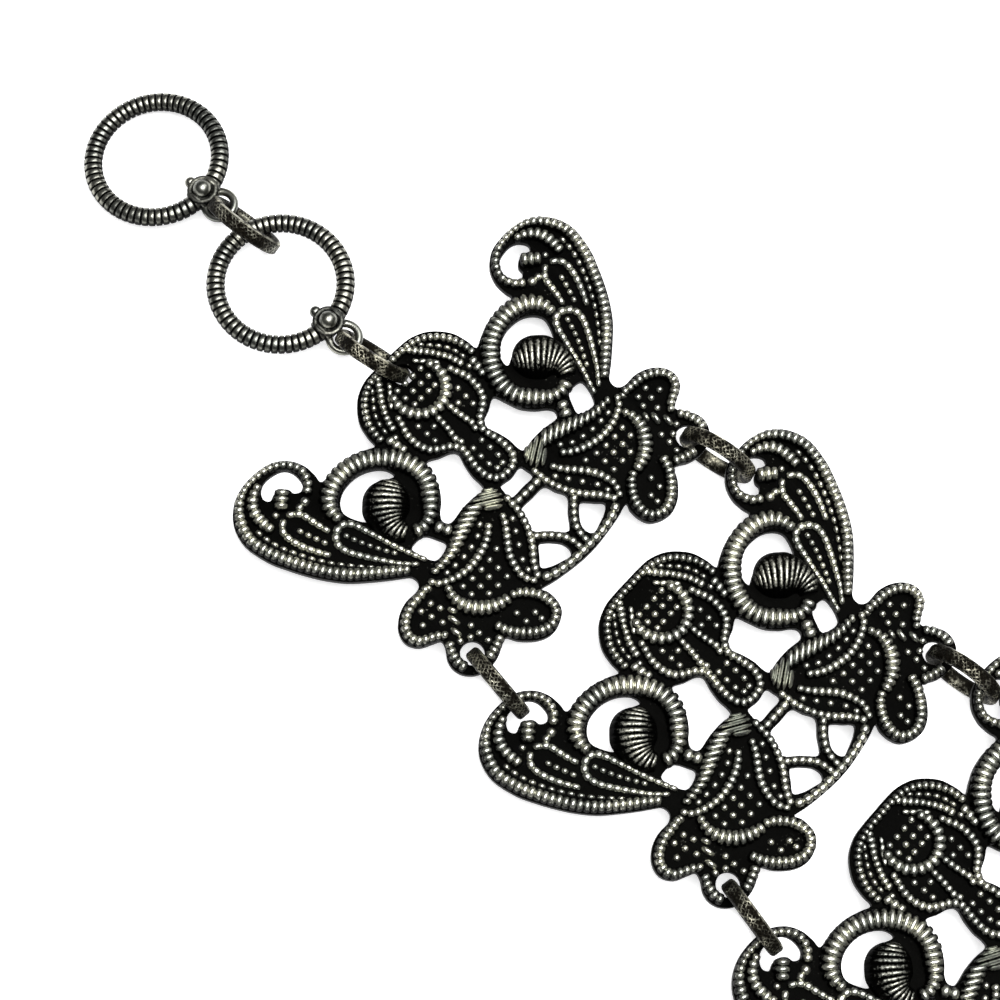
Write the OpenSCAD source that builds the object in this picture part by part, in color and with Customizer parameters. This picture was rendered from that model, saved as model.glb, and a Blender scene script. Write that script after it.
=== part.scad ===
// Panel bracelet: two corded rings, five pierced relief panels, jump links and a plain hook.
// It lies open and straight along X, its relief upwards, on a surface at Z = 0.
// Y = 0 is the middle of the panels, and the bracelet's box is centred on the origin.

/* [Bracelet] */
// Distance from one panel to the next
panel_pitch = 29.5; // [29.4:0.05:29.6]
// Distance from the first panel's middle back to the inner ring's middle
inner_ring_reach = 22; // [21.95:0.05:22.1]
// Distance from the first panel's middle back to the end ring's middle
end_ring_reach = 38.9; // [38.8:0.05:39]

/* [Panels] */
// Thickness of the pierced plate
plate_t = 0.9; // [0.7:0.05:1.1]
// Height of the thin cords over the flat back
cord_h = 1.4; // [1.2:0.05:1.5]
// Height of the thick ropes over the flat back
rope_h = 1.9; // [1.7:0.05:2]
// Height of the fluted ball over the flat back
ball_h = 2.5; // [2.3:0.05:2.8]
// Radius of the fluted ball's outline
ball_r = 2.35; // [2.2:0.05:2.45]
// Radius of the drilled link holes
hole_r = 1.1; // [1.05:0.01:1.15]

/* [Rings] */
// Outer diameter of a corded ring
ring_od = 13.5; // [13.2:0.1:13.8]
// Thickness of a corded ring's rope
ring_rope_d = 1.7; // [1.5:0.05:1.8]
// Slope at which the end ring leans on its link
end_ring_slope = 9; // [8:0.5:10]
// Slope at which the inner ring leans on its links
inner_ring_slope = 2.5; // [2.2:0.1:2.8]

/* [Links] */
// Width of a link's band
link_band_w = 1.4; // [1.3:0.05:1.45]
// Thickness of a link's band
link_band_t = 1; // [0.9:0.05:1.05]
// Radius of the middle of a link's band
link_r = 3.25; // [3.22:0.01:3.28]

/* [Clasp] */
// Thickness of the clasp's bar and hook
clasp_t = 1.4; // [1.2:0.05:1.6]
// Width of the hook
hook_w = 3.2; // [2.6:0.1:3.6]
// Clear gap inside the hook
hook_gap = 2.8; // [2.4:0.1:3.2]

/* [Hidden] */
$fn = 48;

silver = [0.46, 0.46, 0.45];
link_metal = [0.4, 0.38, 0.34];
panel_count = 5;
// How far each panel is turned where the bracelet lies, in degrees
panel_turn = [-0.9, 0.5, 1.3, 0.6, 0];
// Drilled or cast holes that a link passes, from the panel's middle: at the bell's tip, the wing and the head
bell_hole = [14.4, 13.95];
wing_pass = [-8.6, 14.95];
head_hole = [-7.8, 0];
// How far the tops of a left and a right link, and of the ring links, lean to the left, in degrees
link_lean = [10, 3];
ring_link_lean = 22;

// Height at which the cords, beads and balls start, just under the plate's top
root_z = plate_t - 0.1;
ring_r = (ring_od - ring_rope_d) / 2;
ring_loop_reach = 7.8;
ring_loop_r = 1.35;
ring_loop_wire_r = 0.32;
ring_boss_r = 1.2;
ring_ball_r = 1;
ring_knob_r = 0.55;
// Directions in which each ring's loop points, and in which the end ring slopes up
inner_ring_turn = 1.5;
end_ring_turn = 4;
end_ring_uphill = 12;
inner_ring_y = -1;
// Height of the inner ring's rope over the lowest point of the link that carries it
ring_lift = 0.65;

link_outer_r = link_r + link_band_t / 2;
link_face_w = 2 * sqrt(pow(link_band_w / 2, 2) - pow(link_band_t / 2, 2));
// The upright links carry the panels, whose rims pass through their middles
link_z = link_outer_r;
panel_z = link_z - cord_h / 2;
inner_ring_z = ring_rope_d / 2 + link_band_t + ring_lift + ring_r * sin(inner_ring_slope);
end_ring_z = ring_rope_d / 2 + ring_r * sin(end_ring_slope);

// Ends of the bracelet along X, from the first panel's middle
hook_bar_x = 21.9;
hook_bend_x = 27.5;
hook_lip = 4.5;
hook_end_x = hook_bend_x + hook_gap / 2 + clasp_t;
end_ring_half = ring_r * sqrt(1 - pow(sin(end_ring_slope) * cos(end_ring_uphill), 2)) + ring_rope_d / 2;
front_x = -end_ring_reach - end_ring_half;
back_x = (panel_count - 1) * panel_pitch + hook_end_x;
middle_x = (front_x + back_x) / 2;

// Gaps of half a panel, each a closed curve through [x, y]
scroll_gap = [
    [-9.55, 15.4], [-9.3, 16.4], [-8.4, 17], [-7.6, 16.3], [-7.75, 15.8],
    [-7.75, 15.2], [-6.7, 14.3], [-6.95, 13.7], [-8, 13.4], [-9.4, 14.15]
];
crescent_gap = [
    [-2.2, 12.9], [-0.55, 12.1], [-2, 10.85], [-2.45, 9.3], [-1.8, 7.3], [-2.5, 7.3],
    [-3.4, 8.5], [-3.95, 10.3], [-3.6, 12]
];
arm_gap = [
    [4.25, 7.25], [4.85, 6.8], [4.65, 4.6], [4.8, 2.6], [4, 2.35],
    [2, 2.1], [0.9, 1.75], [0, 2.9], [-0.6, 4.3], [1.4, 4.85], [3.3, 6.2]
];
bridge_gap = [[4, 10.75], [4, 9.4], [5.85, 8.5], [6.2, 9.9], [5.2, 10.75]];
web_gap = [
    [11.75, 2.75], [13.35, 4.15], [14.1, 3], [14.5, 1.5], [13.9, 1.1], [12.7, 1.5]
];
// Gaps that the middle line cuts, as the half over it
web_middle_gap = [[12.8, 0], [10.5, 2.25], [8.4, 1.45], [8.35, 0]];
stem_gap = [[7.1, 0], [7.05, 1.4], [5.6, 1.2], [5.75, 0]];

// Thick ropes of half a panel, through [x, y, width]
head_rope = [
    [-9.35, 0, 0.9], [-9.35, 1.7, 0.9], [-8.75, 3.9, 0.9], [-7.2, 5.35, 0.9], [-4.7, 5.9, 0.9]
];
wing_rope = [
    [-5.8, 15.1, 0.8], [-6, 13.8, 0.8], [-7.2, 12.8, 0.8], [-8.75, 12.95, 0.7], [-9.85, 14.1, 0.7],
    [-10.15, 15.9, 0.85], [-9.95, 17.8, 1], [-8.7, 19.7, 1], [-6.5, 20.5, 1], [-4.2, 20.05, 1],
    [-1.2, 18.7, 1], [1.6, 16.8, 1], [4, 14.15, 1], [5.5, 12.3, 0.8]
];
scroll_rope = [
    [-2.3, 13.6, 1], [-4, 13.3, 1.5], [-4.95, 11.7, 1.7], [-5, 9.7, 1.7], [-4.2, 7.7, 1.7],
    [-2.7, 6.2, 1.7], [-0.6, 5.5, 1.7], [1.3, 6, 1.5], [2.8, 7.2, 1.3], [3.35, 9, 1.2],
    [3, 10.5, 1.1], [1, 11.4, 1]
];
bell_shoulder = [[5.2, 4.4, 0.8], [5.6, 5.8, 1], [6.2, 7.4, 1], [6.7, 9.4, 0.7], [6.8, 11.4, 0.7]];
bell_lip = [
    [8.2, 11.4, 0.8], [9.6, 11.6, 1.1], [11.3, 11, 1.3], [12.7, 9.7, 1.3], [13.3, 8, 1.1], [12.9, 6.2, 0.8]
];
lobe_1_rope = [
    [7.3, 12.2, 0.8], [7.6, 14.2, 0.8], [8.2, 16, 0.85], [9.6, 16.9, 0.85], [10.7, 16, 0.85], [11.3, 14.6, 0.7]
];
lobe_2_rope = [
    [12, 14.6, 0.7], [13.2, 15.4, 0.75], [14.5, 15.6, 0.75], [15.65, 14.9, 0.75], [15.95, 13.4, 0.7],
    [15, 11.1, 0.7]
];
lobe_3_rope = [
    [15, 10.3, 0.8], [16.8, 9.2, 0.9], [17.55, 7.7, 0.9], [17.1, 6.3, 0.9], [15.9, 5.9, 0.9], [14.6, 6, 0.8]
];

// Thin cords of half a panel, through [x, y, width]
thin_cords = [
    // Wing: the two petals
    [[-0.6, 16.3, 0.55], [-3.2, 17.3, 0.55], [-5.4, 17.3, 0.55], [-5.9, 16.4, 0.55],
        [-5.3, 15.5, 0.55], [-2.5, 15.1, 0.55]],
    [[5.3, 11.8, 0.5], [3, 13.4, 0.55], [0.6, 14.9, 0.55], [-1.1, 14.9, 0.55], [-1.9, 14, 0.55],
        [-1.3, 13, 0.55], [2.2, 11.95, 0.55], [5.3, 11.2, 0.5]],
    // Bell: its edge by the web and its two inner folds
    [[7.6, 1.85, 0.6], [10, 2.5, 0.6], [12.2, 4, 0.6], [14, 5.3, 0.6]],
    [[7.1, 3.1, 0.6], [8.6, 4, 0.6], [11, 5.65, 0.6], [13.4, 5.85, 0.6]],
    [[6.9, 4.4, 0.6], [8.3, 6.1, 0.6], [8.8, 8.4, 0.6], [8.2, 10.9, 0.6]],
    // Web: the strut
    [[11.1, 2.6, 0.6], [12.5, 1.05, 0.6], [14.7, 0.45, 0.6]]
];
// Thin cords that cross the middle line: the medallion, the stem's border with the head's arm, and the web's arc
middle_cords = [
    [[-3.3, 0, 0.7], [-3.5, 1.1, 0.7], [-4.3, 2.1, 0.7], [-5.9, 2.85, 0.7], [-7.4, 2.6, 0.7], [-8.4, 1.3, 0.7]],
    [[5.35, 0, 0.6], [5.2, 0.9, 0.6], [4.4, 1.6, 0.6], [2.8, 1.65, 0.6], [0.8, 1.1, 0.6], [-0.4, 2.1, 0.7],
        [-1.5, 3.7, 0.7], [-3.4, 3.9, 0.7], [-5.4, 3.8, 0.7]],
    [[15, 0, 0.6], [14.95, 1, 0.6], [14.8, 2.8, 0.6], [14.3, 4.9, 0.6]]
];
// Beads of half a panel, as [x, y, radius]: the bud in the scroll and the bridge to the bell
beads = [[-7.25, 15.55, 0.4], [-6.45, 15.6, 0.4], [4.5, 8.1, 0.45], [5.35, 7.75, 0.45]];
ball_at = [0.05, 9.5];

// Point beside place i of a curve, side half-widths to its left
function beside(curve, i, side) = let (
    ahead = curve[min(i + 1, len(curve) - 1)] - curve[max(i - 1, 0)],
    along = [ahead[0], ahead[1]] / norm([ahead[0], ahead[1]])
) [curve[i][0], curve[i][1]] + [-along[1], along[0]] * side * curve[i][2] / 2;

// Place on the bracelet of a point of panel k, where k = 0 is the first
function laid(k, point) = let (a = panel_turn[k]) [
    k * panel_pitch + point[0] * cos(a) - point[1] * sin(a),
    point[0] * sin(a) + point[1] * cos(a)
];
// Part of the plate's rim, a little outside a rope, from place i to place j
function rim(rope, i, j, side) = [for (n = [i : sign(j - i) : j]) beside(rope, n, side * 1.2)];
function mirrored(point) = [for (i = [0 : len(point) - 1]) i == 1 ? -point[i] : point[i]];
// Both halves of a curve that starts or ends on the middle line
function whole(half) = concat([for (i = [len(half) - 1 : -1 : 0]) if (half[i][1] > 0) mirrored(half[i])], half);
// Rim of half a panel, from the head's front round the wing and the bell's lobes to the web
half_rim = concat(
    rim(head_rope, 0, 4, 1),
    rim(scroll_rope, 4, 2, -1),
    rim(wing_rope, 2, 12, 1), [[5.9, 12.75]],
    rim(lobe_1_rope, 1, 4, 1), [[11.6, 15.1]],
    rim(lobe_2_rope, 1, 4, 1), [[15.95, 10.8]],
    rim(lobe_3_rope, 1, 4, 1),
    [[14.9, 5.3], [15.25, 2.9], [15.45, 1.1], [15.5, 0]]
);
wing_tops = [for (k = [0 : panel_count - 1]) for (p = half_rim) laid(k, p)[1]];
wing_bottoms = [for (k = [0 : panel_count - 1]) for (p = half_rim) laid(k, mirrored(p))[1]];
middle_y = (max(wing_tops) + min(wing_bottoms)) / 2;

// Cord of roof-shaped section along a curve of [x, y, width on the plate], rooted in the plate
module cord(curve, height) {
    last = len(curve) - 1;
    spread = (height - root_z) / (height - plate_t);
    spots = [for (i = [0 : last]) let (
        left = beside(curve, i, spread),
        right = beside(curve, i, -spread)
    ) each [[left[0], left[1], root_z], [right[0], right[1], root_z], [curve[i][0], curve[i][1], height]]];
    walls = [for (i = [0 : last - 1]) for (j = [0 : 2]) let (here = i * 3 + j, next = i * 3 + (j + 1) % 3)
        each [[next + 3, here + 3, here], [next, next + 3, here]]];
    polyhedron(spots, concat(walls, [[2, 1, 0], [last * 3, last * 3 + 1, last * 3 + 2]]));
}

module both_halves() {
    children();
    mirror([0, 1, 0]) children();
}

// Flat shape of the pierced plate
module plate_shape() {
    difference() {
        polygon(whole(half_rim));
        both_halves() for (gap = [scroll_gap, crescent_gap, arm_gap, bridge_gap, web_gap]) polygon(gap);
        for (gap = [web_middle_gap, stem_gap]) polygon(whole(gap));
    }
}

module panel(number) {
    k = number - 1;
    color(silver) translate([k * panel_pitch, 0, panel_z]) rotate([0, 0, panel_turn[k]]) difference() {
        union() {
            linear_extrude(plate_t) plate_shape();
            cord(whole(head_rope), rope_h);
            for (thin = middle_cords) cord(whole(thin), cord_h);
            both_halves() {
                for (rope = [
                    wing_rope, scroll_rope, bell_shoulder, bell_lip, lobe_1_rope, lobe_2_rope, lobe_3_rope
                ]) cord(rope, rope_h);
                for (thin = thin_cords) cord(thin, cord_h);
                for (spot = beads) bead(spot);
                fluted_ball();
            }
        }
        for (side = [-1, 1]) drilled([bell_hole[0], side * bell_hole[1]]);
        if (number == 1) drilled(head_hole);
    }
}

module drilled(place) {
    translate([place[0], place[1], -1]) cylinder(h = rope_h + 2, r = hole_r, $fn = 12);
}

// Bead on the plate at [x, y] with a radius
module bead(spot) {
    translate([spot[0], spot[1], root_z]) hull()
        cylinder(h = cord_h - root_z, r1 = spot[2], r2 = spot[2] / 2, $fn = 6);
}

// The ball's dome; its flutes are too fine to stand here
module fluted_ball() {
    steps = 2;
    translate([ball_at[0], ball_at[1], root_z]) rotate_extrude($fn = 12) polygon([
        [0, 0],
        for (i = [0 : steps]) let (a = 90 * i / steps) [ball_r * cos(a), (ball_h - root_z) * sin(a)]
    ]);
}

// Ring of cord whose boss, ball, knob and loop point along X
module corded_ring() {
    rotate_extrude() translate([ring_r, 0]) circle(ring_rope_d / 2);
    translate([ring_r, 0, -ring_rope_d / 2]) cylinder(h = ring_rope_d, r = ring_boss_r);
    translate([ring_r, 0, ring_rope_d / 2]) sphere(ring_ball_r);
    translate([ring_r - ring_boss_r, 0, 0]) sphere(ring_knob_r);
    translate([ring_loop_reach, 0, 0]) rotate_extrude() translate([ring_loop_r, 0]) circle(ring_loop_wire_r);
}

// Turns a shape so that it climbs at a slope in the direction given
module sloped(slope, uphill) {
    rotate([0, 0, uphill]) rotate([0, -slope, 0]) rotate([0, 0, -uphill]) children();
}

// Upright band ring that stands on the surface and whose middle lies half way between two places
module link(from, to, lean) {
    span = to - from;
    middle = (from + to) / 2;
    stand = link_outer_r * cos(lean) + link_face_w / 2 * sin(abs(lean));
    translate([middle[0], middle[1], stand]) rotate([0, 0, atan2(span[1], span[0])]) rotate([lean, 0, 0])
        rotate([90, 0, 0]) rotate_extrude() translate([link_r, 0]) intersection() {
            circle(link_band_w / 2);
            square([link_band_t, link_band_w], center = true);
        }
}

inner_loop = [
    -inner_ring_reach + ring_loop_reach * cos(inner_ring_turn) * cos(inner_ring_slope),
    inner_ring_y + ring_loop_reach * sin(inner_ring_turn)
];
end_loop = [
    -end_ring_reach + ring_loop_reach * cos(end_ring_turn) * cos(end_ring_slope),
    ring_loop_reach * sin(end_ring_turn)
];

module end_ring() {
    color(silver) translate([-end_ring_reach, 0, end_ring_z])
        sloped(end_ring_slope, end_ring_uphill) rotate([0, 0, end_ring_turn]) corded_ring();
}

module inner_ring() {
    color(silver) translate([-inner_ring_reach, inner_ring_y, inner_ring_z])
        sloped(inner_ring_slope, 0) rotate([0, 0, inner_ring_turn]) corded_ring();
}

module ring_link_end() {
    color(link_metal) link(end_loop - [0.08, 0.28], end_loop + [6.4, 0.22], ring_link_lean);
}

module ring_link_inner() {
    hole = laid(0, head_hole);
    color(link_metal) link(hole - [6.44, 1.1], hole - [0, 0.05], ring_link_lean);
}

// Link from panel k's bell to the next panel's wing, or to the clasp's eye; side is -1 on the left
module panel_link(number, side) {
    k = number - 1;
    from = [bell_hole[0], side * bell_hole[1]];
    to = [wing_pass[0], side * wing_pass[1]];
    far = k + 1 < panel_count ? laid(k + 1, to) : [(k + 1) * panel_pitch, 0] + to;
    lean = side < 0 ? link_lean[0] : link_lean[1];
    color(link_metal) link(laid(k, from), far, lean);
}

// Plain clasp: a bar with an eye at each end and a flat hook that curls up and back
module clasp_hook() {
    eye = [panel_pitch + wing_pass[0], wing_pass[1]];
    eye_r = 2;
    bar_w = 2.2;
    bend_r = hook_gap / 2;
    color(silver) translate([(panel_count - 1) * panel_pitch, 0, link_z - clasp_t / 2]) {
        difference() {
            union() {
                for (side = [-1, 1]) translate([eye[0], side * eye[1], 0]) cylinder(h = clasp_t, r = eye_r);
                translate([eye[0], -eye[1], 0]) cube([bar_w, 2 * eye[1], clasp_t]);
            }
            for (side = [-1, 1]) translate([eye[0], side * eye[1], -1]) cylinder(h = clasp_t + 2, r = hole_r);
        }
        translate([hook_bar_x, -hook_w / 2, 0]) cube([hook_bend_x - hook_bar_x, hook_w, clasp_t]);
        translate([hook_bend_x, hook_w / 2, clasp_t + bend_r]) rotate([90, 0, 0])
            rotate_extrude(angle = 180, start = -90) translate([bend_r, 0]) square([clasp_t, hook_w]);
        translate([hook_bend_x - hook_lip, -hook_w / 2, clasp_t + hook_gap]) cube([hook_lip, hook_w, clasp_t]);
    }
}

translate([-middle_x, -middle_y, 0]) {
    end_ring();
    inner_ring();
    ring_link_end();
    ring_link_inner();
    for (number = [1 : panel_count]) {
        panel(number);
        panel_link(number, -1);
        panel_link(number, 1);
    }
    clasp_hook();
}
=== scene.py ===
"""Looks of the panel bracelet: corded rings, jump links, relief panels and the plain hook."""
import math

import bpy
import numpy as np
from mathutils import Matrix, Vector


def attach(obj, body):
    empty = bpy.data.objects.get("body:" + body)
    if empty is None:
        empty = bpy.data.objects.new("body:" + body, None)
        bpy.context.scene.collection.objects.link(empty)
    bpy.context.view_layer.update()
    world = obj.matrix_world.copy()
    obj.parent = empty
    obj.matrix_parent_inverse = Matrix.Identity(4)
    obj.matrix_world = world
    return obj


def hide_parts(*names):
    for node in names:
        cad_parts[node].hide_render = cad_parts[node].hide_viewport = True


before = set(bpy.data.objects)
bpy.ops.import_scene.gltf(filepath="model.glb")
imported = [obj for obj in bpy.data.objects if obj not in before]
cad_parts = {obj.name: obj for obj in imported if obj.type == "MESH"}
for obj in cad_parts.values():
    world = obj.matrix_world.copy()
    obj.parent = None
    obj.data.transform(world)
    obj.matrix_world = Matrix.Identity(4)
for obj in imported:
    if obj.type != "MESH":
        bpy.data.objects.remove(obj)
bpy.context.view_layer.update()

MM = 0.001

# Sizes and places are in millimetres and degrees, as the solids have them

# Distance from one panel to the next, and how each is turned as it lies
PITCH = 29.5
PANEL_TURN = (-0.9, 0.5, 1.3, 0.6, 0.0)
PANELS = len(PANEL_TURN)
# Middle of the bracelet's box, from the first panel's middle
MIDDLE_X = 51.36
MIDDLE_Y = -0.02
# Height of the panels' flat backs over the surface
PANEL_Z = 3.05
# The panels' flat plate, and its rounded rim
PLATE = 0.9
PLATE_RIM = 0.07

# Places that a link passes, from a panel's middle
BELL_HOLE = (14.4, 13.95)
WING_PASS = (-8.6, 14.95)
HEAD_HOLE = (-7.8, 0)
HOLE_R = 1.1
# The head's hole is drawn smaller and beads come nearer to it, so that its link hides it
HEAD_HOLE_DRAWN_R = 0.95
HEAD_HOLE_ROOM = 0.85

# The corded rings: the ring itself, its winding, and what its boss carries
RING_R = 5.9
ROPE_R = 0.85
TURNS = 62
TURN_LENGTH = 0.5
COLLAR_R, COLLAR_LENGTH = 1.12, 2.3
FLANGE_R, FLANGE_WIRE, FLANGE_Y = 1.04, 0.17, 1.02
BEZEL_R, BEZEL_WIRE, BEZEL_Z = 1.2, 0.26, 0.78
BALL_R, BALL_Z = 0.86, 1.02
KNOB_R, KNOB_X, KNOB_Z = 0.54, RING_R - 1.6, 0.35
LOOP_R, LOOP_WIRE, LOOP_REACH = 1.35, 0.37, 7.8

# The jump links: their band, and how far they lean to the left
LINK_R = 3.25
LINK_W = 1.4
LINK_T = 1.0
LINK_OUTER = LINK_R + LINK_T / 2
LINK_FACE = 2 * math.sqrt((LINK_W / 2) ** 2 - (LINK_T / 2) ** 2)
LINK_LEANS = (("left", -1, 10), ("right", 1, 3))
RING_LINK_LEAN = 22
# Both ends of the two ring links, the first from the end ring's loop and the second from the head's hole
END_LINK_ENDS = ((-0.08, -0.28), (6.4, 0.22))
INNER_LINK_ENDS = ((-6.44, -1.1), (0, -0.05))

# Height of the inner ring's rope over the lowest point of the link that carries it
RING_LIFT = 0.65
# How the rings lie: sloped up towards a heading, and turned
END_RING = dict(x=-38.9, y=0, slope=9, uphill=12, turn=4)
END_RING["z"] = ROPE_R + RING_R * math.sin(math.radians(END_RING["slope"]))
INNER_RING = dict(x=-22, y=-1, slope=2.5, uphill=0, turn=1.5)
INNER_RING["z"] = ROPE_R + LINK_T + RING_LIFT + RING_R * math.sin(math.radians(INNER_RING["slope"]))

# The clasp, from the last panel's middle
CLASP_T = 1.4
CLASP_X = PITCH + WING_PASS[0]
EYE_R, EYE_WIRE = 1.55, 0.45
BAR_W, BAR_END = 2.2, 1.6
BAR_BEADS_X, BAR_BEADS_REACH = (0.45, 1.75), 12.9
BAR_BEAD_PITCH, BAR_BEAD_SIZE = 0.7, (0.34, 0.3, 0.3)
HOOK_W, HOOK_GAP, HOOK_LIP = 3.2, 2.8, 4.5
HOOK_ROOT_X, HOOK_BEND_X = 21.9, 27.5

# Outline of half a panel, from the head's front round the wing and the lobes to the web
HEAD_EDGE = [(-9.9, 0), (-9.9, 1.4), (-9.75, 3), (-9, 4.6), (-7.5, 5.9), (-6, 6.35), (-4.9, 6.5)]
SCROLL_EDGE = [(-5.3, 7.5), (-5.8, 8.8), (-6, 10.4), (-5.9, 12.2)]
WING_EDGE = [
    (-6.8, 12.2), (-8, 12.25), (-9.3, 12.85), (-10.3, 14.1), (-10.65, 15.8), (-10.55, 17.6), (-9.9, 19.2),
    (-8.6, 20.5), (-6.6, 21.1), (-4.2, 20.7), (-2.5, 20), (-0.9, 19.2), (0.6, 18.3), (2.1, 17.15),
    (3.4, 15.75), (4.6, 14.3), (5.2, 13.5), (5.8, 12.8),
]
LOBE_1_EDGE = [
    (6.6, 12.75), (7.05, 13.4), (7.05, 14.8), (7.5, 16.1), (8.4, 17.1), (9.6, 17.45), (10.7, 16.9),
    (11.3, 15.8), (11.7, 15.1),
]
LOBE_2_EDGE = [
    (12.4, 15.3), (13.3, 15.95), (14.3, 16.15), (15.3, 15.8), (16.1, 14.9), (16.35, 13.6), (16.1, 12.3),
    (15.45, 11),
]
LOBE_3_EDGE = [
    (16.5, 10.3), (17.6, 9.2), (18.15, 8), (18.05, 6.8), (17.4, 5.7), (16.4, 5.3), (15.4, 5.3), (14.7, 5.5),
]
WEB_EDGE = [(15, 4.2), (15.25, 2.8), (15.45, 1.2), (15.5, 0)]
HALF_EDGE = HEAD_EDGE + SCROLL_EDGE + WING_EDGE + LOBE_1_EDGE + LOBE_2_EDGE + LOBE_3_EDGE + WEB_EDGE

# Gaps cut right through half a panel
SCROLL_GAP = [
    (-9.55, 15.4), (-9.3, 16.4), (-8.5, 17), (-7.9, 16.7), (-8.1, 16), (-8, 15.3), (-7.5, 14.8), (-6.9, 14.7),
    (-6.6, 14.1), (-7.1, 13.5), (-8.3, 13.4), (-9.2, 14),
]
CRESCENT_GAP = [
    (-2.2, 12.9), (-0.55, 12.1), (-1.4, 11.3), (-2.05, 10.5), (-2.3, 9.5), (-2.2, 8.5), (-1.7, 7.3),
    (-2.6, 7.35), (-3.5, 8.2), (-4.05, 9.4), (-4.15, 10.6), (-3.9, 11.7), (-3.2, 12.6),
]
ARM_GAP = [
    (4.25, 7.25), (4.85, 6.8), (4.65, 5.2), (4.65, 3.8), (4.8, 2.6), (4.2, 2.35), (3.2, 2.35), (2, 2.1),
    (0.9, 1.75), (0.3, 2.2), (-0.1, 3.2), (-0.6, 4.3), (0.5, 4.75), (1.8, 5.2), (2.9, 6.05), (3.6, 6.9),
]
BRIDGE_GAP = [
    (3.95, 10.9), (3.95, 9.4), (5.1, 8.7), (5.9, 8.5), (6.3, 9.3), (6.35, 10.1), (6, 10.5), (5, 10.9),
]
WEB_GAP = [
    (11.75, 2.75), (12.6, 3.55), (13.35, 4.15), (13.9, 3.5), (14.3, 2.4), (14.5, 1.5), (14, 1.1),
    (13.2, 1.2), (12.5, 1.7), (12, 2.2),
]
# Gaps on the middle line, as the half over it
WEB_MIDDLE_GAP = [(12.8, 0), (11.6, 1.2), (10.5, 2.25), (9.4, 1.85), (8.4, 1.45), (8.35, 0)]
STEM_GAP = [(7.1, 0), (7.05, 1.4), (6.2, 1.45), (5.6, 1.2), (5.75, 0)]

# Thick ropes through (x, y, width)
HEAD_ROPE = [
    (-9.35, 0, 0.76), (-9.35, 1.2, 0.76), (-9.15, 2.9, 0.76), (-8.4, 4.25, 0.8), (-7.15, 5.28, 0.8),
    (-5.9, 5.75, 0.8), (-4.6, 5.85, 0.8),
]
WING_ROPE = [
    (-6, 14, 1), (-6.75, 13.15, 0.95), (-8, 12.85, 0.85), (-9.2, 13.45, 0.85), (-9.95, 14.6, 0.8),
    (-10.2, 16, 0.7), (-10.15, 17.5, 0.7), (-9.5, 18.9, 1), (-8.2, 19.95, 1.15), (-6.5, 20.45, 1.15),
    (-4.4, 20.05, 1.15), (-2.7, 19.35, 1.15), (-1.2, 18.6, 1.15), (0.3, 17.7, 1.15), (1.7, 16.6, 1.15),
    (2.9, 15.3, 1.15), (4.1, 13.9, 1.1), (5.3, 12.5, 0.9),
]
CURL_ROPE = [
    (-9.6, 16.4, 0.7), (-9.35, 17.2, 1), (-8.9, 17.9, 1.2), (-8.25, 18.4, 1.3), (-7.4, 18.6, 1.3),
    (-6.6, 18.6, 1.2), (-5.8, 18.5, 1),
]
BUD_ROPE = [(-7.75, 15.3, 1.25), (-7.35, 15.8, 1.5), (-6.95, 16.25, 1.5), (-6.6, 16.65, 1)]
SCROLL_ROPE = [
    (-2.2, 13.7, 1), (-3.4, 13.6, 1.5), (-4.4, 12.9, 1.8), (-5, 11.6, 1.9), (-5.1, 10.1, 1.9),
    (-4.7, 8.5, 1.9), (-3.7, 7.05, 1.95), (-2.3, 5.95, 2), (-0.6, 5.45, 2), (0.9, 5.75, 1.95),
    (2.1, 6.7, 1.85), (3, 7.6, 1.55), (3.4, 8.5, 1.35), (3.4, 9.2, 1.4), (3.2, 9.8, 1.6),
]
BRIDGE_ROPE = [(4.1, 8.15, 1.2), (5.5, 7.45, 1.2)]
NECK_ROPE = [(-4.5, 5.35, 0.9), (-3.5, 5.2, 1), (-2.5, 5, 0.8)]
BELL_SHOULDER = [
    (5.3, 4.3, 1.6), (5.55, 5.2, 1.75), (5.85, 6.1, 1.75), (6.2, 7, 1.6), (6.55, 7.9, 1.4),
    (6.85, 8.8, 1.2), (7, 9.7, 1), (7, 10.6, 0.85), (7, 11.4, 0.7),
]
BELL_LIP = [
    (8.7, 11.3, 0.8), (9.4, 11.6, 1), (10.2, 11.65, 1.2), (11, 11.45, 1.45), (11.7, 11.05, 1.6),
    (12.35, 10.45, 1.6), (12.85, 9.7, 1.5), (13.15, 8.9, 1.3), (13.3, 8.2, 1.1),
]
LOBE_1_ROPE = [
    (7.5, 12.6, 0.8), (7.6, 13.6, 1), (7.7, 14.8, 1), (8.15, 15.9, 1), (8.8, 16.6, 1), (9.65, 16.85, 1),
    (10.4, 16.5, 1), (10.9, 15.6, 0.95), (11.3, 14.9, 0.9), (11.8, 14.4, 0.7),
]
LOBE_2_ROPE = [
    (12.3, 14.75, 0.9), (13.1, 15.25, 1), (14.3, 15.5, 1.05), (15.3, 15.05, 1.05), (15.75, 13.9, 1.05),
    (15.55, 12.4, 1), (15.1, 11.2, 1),
]
LOBE_3_ROPE = [
    (14.1, 10.8, 1), (14.9, 10.55, 1.1), (15.7, 10.1, 1.1), (16.6, 9.3, 1.1), (17.25, 8.5, 1.1),
    (17.6, 7.5, 1.05), (17.4, 6.6, 1.05), (16.7, 5.95, 1.05), (15.7, 5.95, 1.1), (14.8, 6.25, 1.1),
    (14, 6.85, 1.1), (13.5, 7.4, 1), (13.25, 8, 0.9),
]
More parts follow.
